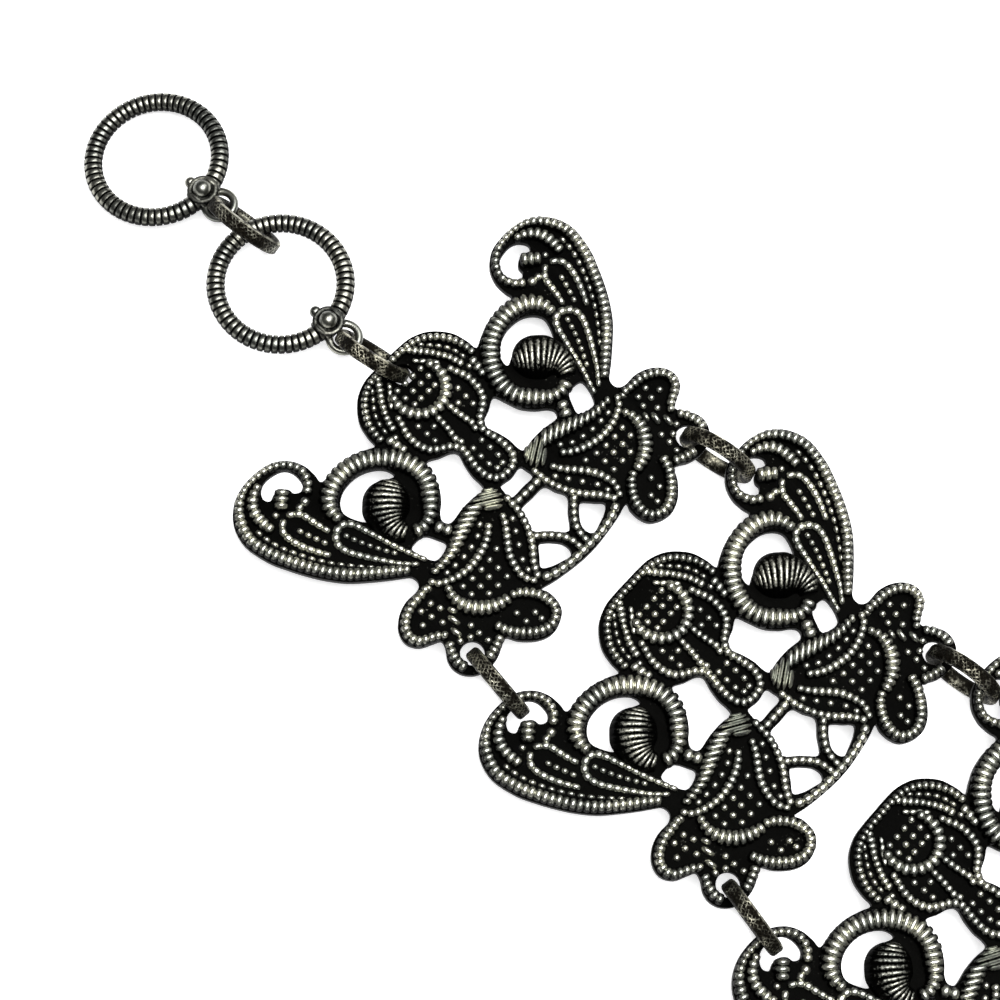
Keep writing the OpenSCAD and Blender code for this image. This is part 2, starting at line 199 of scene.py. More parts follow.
# Each thick rope with its ribs' pitch, height and slant
HALF_ROPES = [
    (WING_ROPE, 0.62, 0.8, 0),
    (CURL_ROPE, 0.6, 0.75, 0),
    (BUD_ROPE, 0.62, 1.1, 0),
    (SCROLL_ROPE, 0.64, 1, 0),
    (BRIDGE_ROPE, 0.72, 0.85, 0),
    (NECK_ROPE, 0.62, 0.7, 20),
    (BELL_SHOULDER, 0.6, 0.85, -34),
    (BELL_LIP, 0.62, 0.95, 0),
    (LOBE_1_ROPE, 0.58, 0.8, 0),
    (LOBE_2_ROPE, 0.58, 0.75, 0),
    (LOBE_3_ROPE, 0.58, 0.8, 0),
]

# Ribbed cords through (x, y, width), each with its pitch and height
HALF_CORDS = [
    ([(6.6, 1.75, 0.7), (7.4, 1.8, 0.8), (8.6, 1.95, 0.8), (10.1, 2.5, 0.8), (11.4, 3.3, 0.85),
        (12.6, 4.35, 0.85), (13.9, 5.1, 0.8)], 0.62, 0.6),
    ([(7.5, 3.1, 0.7), (8.6, 3.75, 0.9), (9.6, 4.6, 0.95), (10.6, 5.35, 0.95), (11.6, 5.75, 0.9),
        (12.6, 5.95, 0.85), (13.4, 5.75, 0.8), (14, 5.4, 0.7)], 0.6, 0.65),
    ([(7.3, 4.6, 0.8), (7.9, 5.3, 0.9), (8.35, 6.1, 0.95), (8.7, 7.2, 1), (8.9, 8.4, 0.95), (8.8, 9.7, 0.9),
        (8.45, 10.8, 0.85), (8, 11.6, 0.8), (7.2, 12.1, 0.7)], 0.6, 0.65),
    ([(10.9, 2.7, 0.7), (11.5, 1.95, 0.8), (12.4, 1.1, 0.8), (13.4, 0.55, 0.8), (14.7, 0.4, 0.7)], 0.68, 0.6),
    ([(-9.2, 1.8, 0.7), (-8.7, 2.2, 0.95), (-8.1, 2.65, 0.9), (-7.4, 3.2, 0.75), (-6.8, 3.55, 0.75),
        (-6.1, 3.95, 0.8), (-5.3, 4.25, 0.85), (-4.6, 4.4, 0.9)], 0.56, 0.6),
    ([(-2.9, 0.75, 0.7), (-2, 0.8, 0.8), (-1.1, 0.9, 0.8), (-0.2, 1.05, 0.8), (0.6, 0.8, 0.7)], 0.56, 0.6),
    ([(-8.1, 1.5, 0.5), (-7.6, 1.9, 0.55), (-7, 2.5, 0.55), (-6.2, 3.05, 0.6)], 0.56, 0.4),
]
# Ribbed cords that start on the middle line, in the same way
MIDDLE_CORDS = [
    ([(-3.35, 0, 1.3), (-3.7, 1.25, 1.3), (-4.6, 2.15, 1.3), (-5.85, 2.5, 1.15), (-7, 2.2, 0.8)], 0.66, 0.8),
    ([(5.2, 0, 0.9), (5.05, 0.9, 0.9), (4.35, 1.5, 0.9), (3.3, 1.65, 0.9), (2, 1.5, 0.9), (0.95, 1.3, 0.9),
        (0.05, 1.8, 0.9), (-0.5, 2.6, 0.9), (-1.1, 3.4, 0.95), (-2.2, 3.85, 0.95), (-3.5, 3.85, 0.9),
        (-4.6, 3.5, 0.85), (-5.4, 3.25, 0.7)], 0.6, 0.65),
    ([(7.7, 0, 0.85), (7.7, 1.5, 0.85)], 0.68, 0.6),
]
# Rims in smooth segments through (x, y, width), each with its pitch
PETAL_RIMS = [
    ([(-0.6, 16.5, 0.55), (-1.7, 17.1, 0.62), (-2.8, 17.6, 0.68), (-3.8, 17.9, 0.7), (-4.7, 18, 0.7),
        (-5.4, 17.7, 0.7), (-5.75, 17.1, 0.65)], 0.74),
    ([(-5.9, 16.6, 0.6), (-5.4, 15.95, 0.7), (-4.9, 15.6, 0.72), (-3.9, 15.4, 0.72), (-2.9, 15.2, 0.66),
        (-2.2, 15, 0.58)], 0.74),
    ([(5.5, 11.6, 0.48), (4.3, 12.7, 0.55), (3.3, 13.4, 0.6), (2.2, 14.1, 0.65), (1.1, 14.75, 0.68),
        (0.2, 15.2, 0.7), (-0.7, 15.35, 0.75), (-1.45, 14.95, 0.78), (-1.85, 14.2, 0.78), (-1.65, 13.5, 0.75),
        (-0.9, 13, 0.7), (0.4, 12.6, 0.66), (1.5, 12.25, 0.62), (2.6, 11.95, 0.6), (3.7, 11.6, 0.56),
        (4.8, 11.2, 0.53), (5.7, 10.85, 0.48)], 0.7),
]
# The web's outer rim, through (x, y, width)
WEB_ARC = [(14.95, 0, 0.85), (14.95, 1, 0.85), (14.85, 2.4, 0.85), (14.55, 3.8, 0.85), (14.1, 4.8, 0.8)]
# Rows of beads through (x, y, width), each with its pitch
BEAD_ROWS = [
    ([(-8.9, 2.85, 0.5), (-8.1, 3.55, 0.53), (-7.4, 4.15, 0.53), (-6.6, 4.65, 0.53), (-5.7, 4.95, 0.53),
        (-4.8, 5.05, 0.53)], 0.8),
    ([(-4.4, 16.9, 0.53), (-3.4, 16.6, 0.58), (-2.4, 16.25, 0.58), (-1.4, 15.9, 0.53)], 0.85),
    ([(-1.2, 14.35, 0.53), (0, 13.95, 0.56), (1.2, 13.45, 0.53), (2.4, 12.85, 0.53), (3.6, 12.2, 0.48)], 0.8),
    ([(-6.9, 19.5, 0.55), (-5.8, 19.45, 0.58), (-4.6, 19.2, 0.58), (-3.6, 18.85, 0.56), (-2.6, 18.4, 0.54),
        (-1.6, 17.9, 0.52), (-0.6, 17.3, 0.5), (0.3, 16.7, 0.5), (1.2, 16, 0.48), (2.1, 15.25, 0.45),
        (3, 14.45, 0.4)], 0.9),
]
# Long smooth strands over the bell's cap
CAP_STRANDS = [
    [(4.75, 2.9, 0.3), (5.1, 2.5, 0.4), (5.45, 1.95, 0.3)],
    [(4.75, 3.6, 0.36), (5.3, 2.7, 0.46), (5.85, 1.75, 0.4)],
    [(4.75, 4.45, 0.4), (5.55, 3.05, 0.54), (6.35, 1.75, 0.44)],
    [(5, 4.9, 0.4), (5.9, 3.5, 0.58), (6.8, 2, 0.44)],
    [(6.05, 4.05, 0.4), (6.6, 3.3, 0.6), (7.1, 2.5, 0.4)],
]
# Single beads, as (x, y, size)
BIG_BEADS = [(-5.65, 14.6, 0.45), (-5.6, 15.3, 0.38), (7.6, 12.6, 0.4)]
# Seed dots on the plate
SEEDS = [
    (-6.6, 17.3),
    (9.6, 13.1), (9.6, 14.2), (9.6, 15.3), (10.65, 13.9), (8.6, 14.5), (8.7, 13.4),
    (12.6, 12.3), (13.6, 12.3), (14.6, 12.2), (13.3, 13.1), (12.9, 14),
    (14.7, 8.7), (15.8, 8.65), (15.8, 7.5), (16.6, 7.5),
    (9.4, 5.75), (9.65, 6.9), (9.75, 8.05), (9.75, 9.2), (9.65, 10.3), (10.7, 6.9), (10.7, 8.05),
    (10.75, 9.2), (10.7, 10.3), (11.8, 6.9), (11.8, 8.05), (11.75, 9.15),
    (6.8, 5.2), (7.4, 6.1), (7.7, 7.2), (7.85, 8.3), (7.85, 9.4), (7.8, 10.4),
    (8.5, 2.75), (9.5, 3.4), (10.55, 4.1), (11.7, 4.85), (12.7, 5.15),
    (-7.05, 1.5), (-6.05, 1.5), (-7.05, 0.5), (-6.05, 0.5), (-5.05, 0.5), (-5.05, 1.3),
    (-3.4, 2.55), (-2.35, 2.5), (-1.4, 2.45), (-2.4, 1.55), (-4.1, 4.75),
    (1.5, 0.55), (2.5, 0.6), (3.5, 0.6), (4.3, 0.35),
]
# Short strands wrapped between the first two lobes, as (x, y, length, heading)
WRAPS = [(11.2, 13.05, 1.4, -12), (12.1, 13.7, 1.3, -8), (10.5, 12.5, 1, -20)]
# The scroll's domed end: its flutes run from the inner to the outer point of each pair, (x, y, x, y, height)
BALL_FAN = [
    (2.35, 9.6, 3.2, 11, 1.1), (1.95, 9.6, 2.45, 11.95, 1.3), (1.75, 9.4, 1.2, 12.3, 1.5),
    (1.65, 9.05, 0, 12.2, 1.6), (1.5, 8.65, -1.1, 11.9, 1.7), (1.15, 8.25, -1.85, 11.25, 1.7),
    (0.7, 7.85, -2.4, 10.5, 1.6), (0.25, 7.6, -2.6, 9.5, 1.4), (-0.4, 7.45, -2.3, 8.5, 1.1),
    (-1.1, 7.45, -1.7, 7.8, 0.5),
]
FLUTES = 14

# Half length of a row's copies, as a share of the row's step
RIB_LENGTH = 0.66
HEAD_RIB_LENGTH = 0.57
PETAL_LENGTH = 0.64
BEAD_LENGTH = 0.42
WEB_LENGTH = 0.56
# Pitch and height of the head's thick rope and of the web's rim
HEAD_PITCH, HEAD_HEIGHT = 0.58, 0.7
WEB_PITCH, WEB_HEIGHT = 0.85, 0.55
# Heights of the finer relief, a big bead's height for its size, and half sizes of seeds and wraps
PETAL_HEIGHT = 0.5
BEAD_HEIGHT = 0.45
STRAND_HEIGHT = 0.75
BIG_BEAD_TALL = 1.2
SEED_SIZE = (0.33, 0.33, 0.42)
WRAP_SIZE = (0.3, 0.6)
# How far a rib may reach over a link's hole, and how far a seed keeps from it
RIB_OVERHANG = 0.15
SEED_ROOM = 0.15
# Edges sharper than this stay crisp
SHARP_EDGE = math.radians(50)

# Lines of the links' cross-hatch along the band's length and width, and how far they wander
HATCH = ((52, 8), (44, -9))
HATCH_WANDER = 9.0
# A Mix node's sockets for colours, whose names its other kinds share
MIX_A, MIX_B, MIX_RESULT = 6, 7, 2


def pick(*pieces):
    """Selects these pieces alone and makes the first one active."""
    bpy.ops.object.select_all(action="DESELECT")
    for piece in pieces:
        piece.select_set(True)
    bpy.context.view_layer.objects.active = pieces[0]


def made(name):
    """Names the piece that was just added and keeps it selected alone."""
    piece = bpy.context.view_layer.objects.active
    piece.name = name
    pick(piece)
    return piece


def settled(name):
    """Names the piece that was just added and moves its place into its mesh."""
    piece = made(name)
    bpy.ops.object.transform_apply(location=True, rotation=True, scale=True)
    return piece


def join(pieces, name):
    """Joins pieces into one that sits at the origin, unturned and unscaled."""
    pick(*pieces)
    if len(pieces) > 1:
        bpy.ops.object.join()
    return settled(name)


def face_outwards(piece, merge=0):
    """Turns all faces outwards, after corners nearer than the merge distance become one."""
    pick(piece)
    bpy.ops.object.mode_set(mode="EDIT")
    bpy.ops.mesh.select_all(action="SELECT")
    if merge:
        bpy.ops.mesh.remove_doubles(threshold=merge * MM)
    bpy.ops.mesh.normals_make_consistent(inside=False)
    bpy.ops.object.mode_set(mode="OBJECT")


def edit_faces(piece, wanted):
    """Enters edit mode with only the faces selected that the test wants."""
    pick(piece)
    bpy.ops.object.mode_set(mode="EDIT")
    bpy.ops.mesh.select_mode(type="FACE")
    bpy.ops.mesh.select_all(action="DESELECT")
    bpy.ops.object.mode_set(mode="OBJECT")
    for face in piece.data.polygons:
        face.select = wanted(face)
    bpy.ops.object.mode_set(mode="EDIT")


def corners(piece):
    """Places of a piece's corners, a row each."""
    spots = np.empty(len(piece.data.vertices) * 3, np.float32)
    piece.data.vertices.foreach_get("co", spots)
    return spots.reshape(-1, 3)


def corner_normals(piece):
    """How far each corner's normal points along each axis, either way."""
    ways = np.empty(len(piece.data.vertices) * 3, np.float32)
    piece.data.vertex_normals.foreach_get("vector", ways)
    return np.abs(ways.reshape(-1, 3))


def place_corners(piece, spots):
    """Moves a piece's corners to new places."""
    piece.data.vertices.foreach_set("co", np.asarray(spots, np.float32).ravel())
    piece.data.update()


def set_crest(piece, crest):
    """Stores how polished each corner is, from 0 in a groove to 1 on a ridge; on some pieces it also carries
    painted highlight and painted shade.
    """
    mesh = piece.data
    layer = mesh.attributes.get("crest") or mesh.attributes.new("crest", "FLOAT", "POINT")
    layer.data.foreach_set("value", np.clip(np.array(crest, np.float32), 0, 1))


def even_crest(piece, crest):
    """Polishes a whole piece alike."""
    set_crest(piece, np.full(len(piece.data.vertices), crest))


def ramp(value, low, high):
    """A soft step from 0 at the low value to 1 at the high one."""
    t = np.clip((value - low) / (high - low), 0, 1)
    return t * t * (3 - 2 * t)


def polish_top_shade_below(piece, low, high, most=1):
    """Polishes a piece from nothing at one height to the most at another, and leaves it dark below that as
    painted shade.
    """
    set_crest(piece, most * ramp(corners(piece)[:, 2] / MM, low, high))


def smooth(points, closed=False, steps=8):
    """Places on one smooth curve through the points."""
    spots = np.array(points, float)
    if closed:
        around = [spots[-1], *spots, spots[0], spots[1]]
    else:
        around = [2 * spots[0] - spots[1], *spots, 2 * spots[-1] - spots[-2]]
    curve = []
    for a, b, c, d in zip(around, around[1:], around[2:], around[3:]):
        square = 2 * a - 5 * b + 4 * c - d
        cube = 3 * b - a - 3 * c + d
        for t in np.arange(steps) / steps:
            curve.append(b + (c - a) * t / 2 + square * t * t / 2 + cube * t ** 3 / 2)
    if not closed:
        curve.append(spots[-1])
    return np.array(curve)


def reach_along(curve):
    """How far along a curve each of its places lies."""
    return np.concatenate([[0], np.cumsum(np.hypot(*np.diff(curve[:, :2], axis=0).T))])


def whole(half):
    """Both halves of a route that starts or ends on the middle line."""
    other = [(x, -y, *rest) for x, y, *rest in reversed(half) if y > 0]
    return other + list(half)


def steps_along(route, pitch):
    """Evenly spaced places on a route, as (x, y, width, heading, step)."""
    curve = smooth(route)
    reach = reach_along(curve)
    count = max(1, round(reach[-1] / pitch))
    step = reach[-1] / count

    def at(distance):
        return [np.interp(distance, reach, curve[:, i]) for i in range(3)]

    for middle in (np.arange(count) + 0.5) * step:
        x, y, width = at(middle)
        before = at(middle - step / 2)
        after = at(middle + step / 2)
        yield x, y, width, math.atan2(after[1] - before[1], after[0] - before[0]), step


def bevel_ends(piece, size, segments=2):
    """Rounds the rims of a round bar's two flat ends, which face along Y."""
    edit_faces(piece, lambda face: abs(face.normal.y) > 0.9)
    bpy.ops.mesh.region_to_loop()
    bpy.ops.mesh.bevel(offset=size * MM, segments=segments, profile=0.6)
    bpy.ops.object.mode_set(mode="OBJECT")


def half_bead(name, fullness, low, high):
    """A bead, half sunk, a unit in radius, polished from the low to the high mark.

    A fullness above 2 squares it off, across more than upwards.
    """
    sunk, upwards = 0.3, 0.4
    bpy.ops.mesh.primitive_uv_sphere_add(segments=12, ring_count=8, radius=1)
    bead = made(name)
    bpy.ops.object.mode_set(mode="EDIT")
    bpy.ops.mesh.select_all(action="SELECT")
    bpy.ops.mesh.bisect(plane_co=(0, 0, -sunk), plane_no=(0, 0, 1), use_fill=True, clear_inner=True)
    bpy.ops.object.mode_set(mode="OBJECT")
    spots = corners(bead)
    set_crest(bead, ramp(spots[:, 2], low, high))
    swell = (np.abs(spots) ** fullness).sum(axis=1) ** (-1 / fullness) * np.sqrt((spots ** 2).sum(axis=1))
    spots[:, :2] *= swell[:, None]
    spots[:, 2] *= swell ** upwards
    place_corners(bead, spots)
    return bead


def copy_at(shape, x, y, z, heading, size):
    """Copies a shape to a place, turned about the upright and scaled along its own axes."""
    piece = shape.copy()
    piece.data = shape.data.copy()
    bpy.context.collection.objects.link(piece)
    turn = Matrix.Rotation(heading, 4, "Z")
    scale = Matrix.Diagonal((*(Vector(size) * MM), 1))
    piece.matrix_world = Matrix.Translation(Vector((x, y, z)) * MM) @ turn @ scale
    return piece


def clear_of(x, y, holes, room):
    """Whether a place leaves the holes open; the head's hole has its own room."""
    for hole_x, hole_y in holes:
        needed = HOLE_R + room if hole_x > 0 else HEAD_HOLE_ROOM
        if math.hypot(x - hole_x, y - hole_y) <= needed:
            return False
    return True


def row_of(shape, route, pitch, height, holes, length=RIB_LENGTH, slant=0):
    """A row of copies of a shape along a route, each across it or turned by the slant."""
    lean = math.radians(slant)
    row = []
    for x, y, width, heading, step in steps_along(route, pitch):
        if clear_of(x, y, holes, width / 2 - RIB_OVERHANG):
            size = (step * math.cos(lean) * length, width / 2 / math.cos(lean), height)
            row.append(copy_at(shape, x, y, PLATE, heading + lean, size))
    return row


def strand(route):
    """A smooth half-round cord on the plate that tapers at both ends."""
    bpy.ops.mesh.primitive_grid_add(x_subdivisions=16, y_subdivisions=8, size=2)
    cord = made("strand")
    spots = corners(cord).astype(float)
    curve = smooth(route)
    reach = np.linspace(-1, 1, len(curve))
    x, y, width = (np.interp(spots[:, 0], reach, curve[:, i]) for i in range(3))
    slope_x, slope_y = (np.interp(spots[:, 0], reach, np.gradient(curve[:, i])) for i in range(2))
    turned = spots[:, 1] * math.pi / 2
    full = np.sqrt(1 - np.abs(spots[:, 0]) ** 6)
    aside = width / 2 * np.sin(turned) * full / np.hypot(slope_x, slope_y)
    z = PLATE + STRAND_HEIGHT * full * np.cos(turned)
    place_corners(cord, np.stack([x - slope_y * aside, y + slope_x * aside, z], 1) * MM)
    set_crest(cord, ramp(np.cos(turned) * full, 0.45, 0.85))
    return cord


def fluted_ball():
    """The scroll's domed end, whose flutes fan out round the scroll's eye."""
    sunk, groove = 0.02, 0.18
    bpy.ops.mesh.primitive_grid_add(x_subdivisions=FLUTES * 6, y_subdivisions=12, size=2)
    ball = made("fluted_ball")
    spots = corners(ball).astype(float)
    along = (spots[:, 0] + 1) / 2
    across = (spots[:, 1] + 1) / 2
    fan = smooth(BALL_FAN)
    reach = reach_along(fan[:, 2:])
    inner_x, inner_y, outer_x, outer_y, tall = (
        np.interp(along * reach[-1], reach, fan[:, i]) for i in range(5)
    )
    ridge = np.abs(np.sin(along * FLUTES * math.pi)) ** 0.45
    dome = np.sqrt(1 - (2 * across - 1) ** 2)
    x = inner_x + (outer_x - inner_x) * across
    y = inner_y + (outer_y - inner_y) * across
    z = PLATE - sunk + tall * dome * (1 - groove + groove * ridge)
    place_corners(ball, np.stack([x, y, z], 1) * MM)
    # Dark patina in the flutes' grooves; the ramp over the dome paints a highlight on its top.
    set_crest(ball, 0.62 * ramp(ridge, 0.45, 0.95) * ramp(dome, 0.5, 1))
    return ball


def plate_edges(holes):
    """Outlines of the plate, its gaps and its holes, each with its places in order."""
    outlines = [whole(HALF_EDGE)]
    for gap in (SCROLL_GAP, CRESCENT_GAP, ARM_GAP, BRIDGE_GAP, WEB_GAP):
        outlines.append(gap)
        outlines.append([(x, -y) for x, y in gap])
    for gap in (WEB_MIDDLE_GAP, STEM_GAP):
        outlines.append(gap + [(x, -y) for x, y in reversed(gap[1:-1])])
    for x, y in holes:
        size = HOLE_R if x > 0 else HEAD_HOLE_DRAWN_R
        around = [2 * math.pi * i / 12 for i in range(12)]
        outlines.append([(x + size * math.cos(a), y + size * math.sin(a)) for a in around])
    return [smooth(outline, closed=True, steps=4) for outline in outlines]


def pierced_plate(holes):
    """The flat plate with its gaps, cut from one flat curve."""
    shape = bpy.data.curves.new("plate", "CURVE")
    shape.dimensions = "2D"
    shape.fill_mode = "BOTH"
    shape.extrude = (PLATE / 2 - PLATE_RIM) * MM
    shape.bevel_depth = PLATE_RIM * MM
    shape.bevel_resolution = 1
    shape.offset = -PLATE_RIM * MM
    for places in plate_edges(holes):
        line = shape.splines.new("POLY")
        line.points.add(len(places) - 1)
        for point, (x, y) in zip(line.points, places):
            point.co = (x * MM, y * MM, 0, 1)
        line.use_cyclic_u = True
    piece = bpy.data.objects.new("plate", shape)
    bpy.context.collection.objects.link(piece)
    piece.location.z = PLATE / 2 * MM
    pick(piece)
    bpy.ops.object.convert(target="MESH")
    plate = settled("plate")
    face_outwards(plate, 0.002)
    even_crest(plate, 0)
    return plate


def half_relief(rib, bar, bead, holes):
    """The relief on one side of the middle line."""
    half = []
    for route, pitch, height, slant in HALF_ROPES:
        half += row_of(rib, route, pitch, height, holes, slant=slant)
    for route, pitch, height in HALF_CORDS:
        half += row_of(rib, route, pitch, height, holes)
    for route, pitch in PETAL_RIMS:
        half += row_of(bar, route, pitch, PETAL_HEIGHT, holes, PETAL_LENGTH)
    for route, pitch in BEAD_ROWS:
        half += row_of(bead, route, pitch, BEAD_HEIGHT, holes, BEAD_LENGTH)
    for route in CAP_STRANDS:
        half.append(strand(route))
    for x, y, size in BIG_BEADS:
        half.append(copy_at(bead, x, y, PLATE, 0, (size, size, size * BIG_BEAD_TALL)))
    for x, y in SEEDS:
        if clear_of(x, y, holes, SEED_ROOM):
            half.append(copy_at(bead, x, y, PLATE, 0, SEED_SIZE))
    for x, y, length, heading in WRAPS:
        half.append(copy_at(bead, x, y, PLATE, math.radians(heading), (length / 2, *WRAP_SIZE)))
    half.append(fluted_ball())
    return join(half, "half_relief")


def panel_relief(rib, bar, bead, holes):
    """A whole panel in its own frame: the pierced plate, and the relief of one half and its mirror image."""
    both_sides = half_relief(rib, bar, bead, holes)
    mirror = both_sides.modifiers.new("other_half", "MIRROR")
    mirror.use_axis = (False, True, False)
    mirror.use_mirror_merge = False
    bpy.ops.object.modifier_apply(modifier=mirror.name)
    middle = row_of(rib, whole(HEAD_ROPE), HEAD_PITCH, HEAD_HEIGHT, holes, HEAD_RIB_LENGTH)
    for route, pitch, height in MIDDLE_CORDS:
        middle += row_of(rib, whole(route), pitch, height, holes)
    middle += row_of(bar, whole(WEB_ARC), WEB_PITCH, WEB_HEIGHT, holes, WEB_LENGTH)
    relief = join([both_sides, *middle], "relief")
    face_outwards(relief)
    relief.data.shade_smooth()
    panel = join([relief, pierced_plate(holes)], "panel")
    bpy.ops.object.shade_smooth_by_angle(angle=SHARP_EDGE)
    return panel


def finished(piece, name, cad_node, material):
    """Names a finished piece, gives it its material and has it stand for its solid."""
    piece.name = name
    piece.data.name = name
    piece.data.materials.clear()
    piece.data.materials.append(material)
    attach(piece, "root")
    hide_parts(cad_node)


def moved_copy(piece, place):
    """A copy with its own mesh, whose place is in that mesh."""
    other = piece.copy()
    other.data = piece.data.copy()
    bpy.context.collection.objects.link(other)
    other.data.transform(place)
    return other


def hoop(name, radius, wire, place=(0, 0, 0), turned=(0, 0, 0), around=28, across=8):
    """A hoop of round wire, with its number of sides around it and across the wire."""
    bpy.ops.mesh.primitive_torus_add(
        major_segments=around, minor_segments=across, major_radius=radius * MM, minor_radius=wire * MM,
        location=Vector(place) * MM, rotation=turned,
    )
    return settled(name)


def ball_at(name, radius, place, segments, rings):
    """A round ball at a place."""
    bpy.ops.mesh.primitive_uv_sphere_add(
        segments=segments, ring_count=rings, radius=radius * MM, location=Vector(place) * MM
    )
    return settled(name)


def barrel(name, radius, length, sides):
    """A round bar along a ring's rope, where the rope crosses the X axis."""
    bpy.ops.mesh.primitive_cylinder_add(
        vertices=sides, radius=radius * MM, depth=length * MM,
        location=(RING_R * MM, 0, 0), rotation=(math.pi / 2, 0, 0),
    )
    return settled(name)


def wound_rope():
    """A ring's rope: one turn of its winding, narrower inside the ring, that is spun round."""
    reach, narrowing, twist = 0.26, 1.3, 0.08
    turn = barrel("ring_rope", ROPE_R, TURN_LENGTH, 20)
    bevel_ends(turn, 0.12)
    spots = corners(turn) / MM
    side = np.abs(spots[:, 1]) / reach
    high = np.hypot(spots[:, 0] - RING_R, spots[:, 2]) / ROPE_R
    top = spots[:, 2] / ROPE_R
    # Dark patina in the grooves between turns, and painted shade on the rope's sides and underside: dark from
    # its middle height down.
    set_crest(turn, (1 - ramp(side, 0.5, 0.95)) * ramp(high, 0.8, 0.98) * ramp(top, 0, 0.8))
    spots[:, 1] *= (spots[:, 0] / RING_R) ** narrowing
    spots[:, 1] += twist * spots[:, 2]
    place_corners(turn, spots * MM)
    bpy.ops.object.mode_set(mode="EDIT")
    bpy.ops.mesh.select_all(action="SELECT")
    bpy.ops.mesh.spin(steps=TURNS, dupli=True, angle=2 * math.pi, center=(0, 0, 0), axis=(0, 0, 1))
    bpy.ops.object.mode_set(mode="OBJECT")
    face_outwards(turn, 0.001)
    return turn


def corded_ring():
    """A ring in its own frame, its boss, ball, knob and loop along X."""
    rope = wound_rope()
    core = hoop("ring_core", RING_R, ROPE_R - 0.14, around=96, across=12)
    even_crest(core, 0)
    collar = barrel("ring_collar", COLLAR_R, COLLAR_LENGTH, 24)
    bevel_ends(collar, 0.3, 3)
    even_crest(collar, 0.25)
    pieces = [rope, core, collar]
    for side in (-1, 1):
        flange_place = (RING_R, side * FLANGE_Y, 0)
        flange = hoop("ring_flange", FLANGE_R, FLANGE_WIRE, flange_place, (math.pi / 2, 0, 0))
        even_crest(flange, 0.5)
        pieces.append(flange)
    # The bezel, ball, knob and loop are polished on top and dark below: painted shade under each.
    bezel = hoop("ring_bezel", BEZEL_R, BEZEL_WIRE, (RING_R, 0, BEZEL_Z))
    polish_top_shade_below(bezel, BEZEL_Z + 0.08, BEZEL_Z + 0.24, 0.55)
    ball = ball_at("ring_ball", BALL_R, (RING_R, 0, BALL_Z), 24, 16)
    polish_top_shade_below(ball, 1.05, 1.4)
    knob = ball_at("ring_knob", KNOB_R, (KNOB_X, 0, KNOB_Z), 16, 10)
    polish_top_shade_below(knob, 0.35, 0.6)
    loop = hoop("ring_loop", LOOP_R, LOOP_WIRE, (LOOP_REACH, 0, 0), around=40, across=12)
    polish_top_shade_below(loop, -0.2, 0.2)
    ring = join([*pieces, bezel, ball, knob, loop], "corded_ring")
    bpy.ops.object.shade_smooth_by_angle(angle=SHARP_EDGE)
    return ring


def ring_place(ring):
    """Where a ring lies: turned so that its loop points along the row, and sloped."""
    uphill = math.radians(ring["uphill"])
    tilt = (
        Matrix.Rotation(uphill, 4, "Z")
        @ Matrix.Rotation(-math.radians(ring["slope"]), 4, "Y")
        @ Matrix.Rotation(-uphill, 4, "Z")
    )
    spot = Vector((ring["x"] - MIDDLE_X, ring["y"] - MIDDLE_Y, ring["z"])) * MM
    return Matrix.Translation(spot) @ tilt @ Matrix.Rotation(math.radians(ring["turn"]), 4, "Z")


def band_link():
    """An upright band in its own frame, in the XZ plane, with a painted highlight streak along one side of
    its outer face, and lighter inside.
    """
    link = hoop("band_link", LINK_R, LINK_W / 2, around=120, across=20)
    spots = corners(link) / MM
    out = np.hypot(spots[:, 0], spots[:, 1])
    flat = LINK_R + np.clip(out - LINK_R, -LINK_T / 2, LINK_T / 2)
    spots[:, 0] *= flat / out
    spots[:, 1] *= flat / out
    place_corners(link, spots * MM)
    leaning = np.degrees(np.arctan2(spots[:, 2], out - LINK_R))
    # Painted highlight: a bright streak along the side of the outer face that faces the right-hand lamp; the
    # inside is made lighter as well.
    streak = ramp(-leaning, 38, 46) * (1 - ramp(-leaning, 66, 90))
    inside = 0.6 * ramp(np.abs(leaning), 130, 142)
    set_crest(link, np.maximum(streak, inside))
    link.data.transform(Matrix.Rotation(math.pi / 2, 4, "X"))
    pick(link)
    bpy.ops.object.shade_smooth()
    return link


def laid(k, point):
    """Place on the bracelet of a point of panel k."""
    a = math.radians(PANEL_TURN[k])
    return (
        k * PITCH + point[0] * math.cos(a) - point[1] * math.sin(a),
        point[0] * math.sin(a) + point[1] * math.cos(a),
    )


def link_place(start, end, lean):
    """Stands a link on the surface, half way between two places, its top leaning to the left."""
    a = math.radians(lean)
    stand = LINK_OUTER * math.cos(a) + LINK_FACE / 2 * math.sin(abs(a))
    middle = Vector(((start[0] + end[0]) / 2 - MIDDLE_X, (start[1] + end[1]) / 2 - MIDDLE_Y, stand)) * MM
    heading = math.atan2(end[1] - start[1], end[0] - start[0])
    return Matrix.Translation(middle) @ Matrix.Rotation(heading, 4, "Z") @ Matrix.Rotation(a, 4, "X")


def ring_link_place(anchor, ends):
    """Where a ring's link stands, from a place and its two ends' distances from it."""
    start, end = ((anchor[0] + x, anchor[1] + y) for x, y in ends)
    return link_place(start, end, RING_LINK_LEAN)


def all_link_places():
    """Where each link stands, by its solid's name."""
    slope = math.radians(END_RING["slope"])
    turn = math.radians(END_RING["turn"])
    loop = (END_RING["x"] + LOOP_REACH * math.cos(turn) * math.cos(slope), LOOP_REACH * math.sin(turn))
    places = {
        "ring_link_end": ring_link_place(loop, END_LINK_ENDS),
        "ring_link_inner": ring_link_place(laid(0, HEAD_HOLE), INNER_LINK_ENDS),
    }
    for k in range(PANELS):
        for name, side, lean in LINK_LEANS:
            start = laid(k, (BELL_HOLE[0], side * BELL_HOLE[1]))
            far = (WING_PASS[0], side * WING_PASS[1])
            end = laid(k + 1, far) if k < PANELS - 1 else (PANELS * PITCH + far[0], far[1])
            places[f"link_{k + 1}_{name}"] = link_place(start, end, lean)
    return places


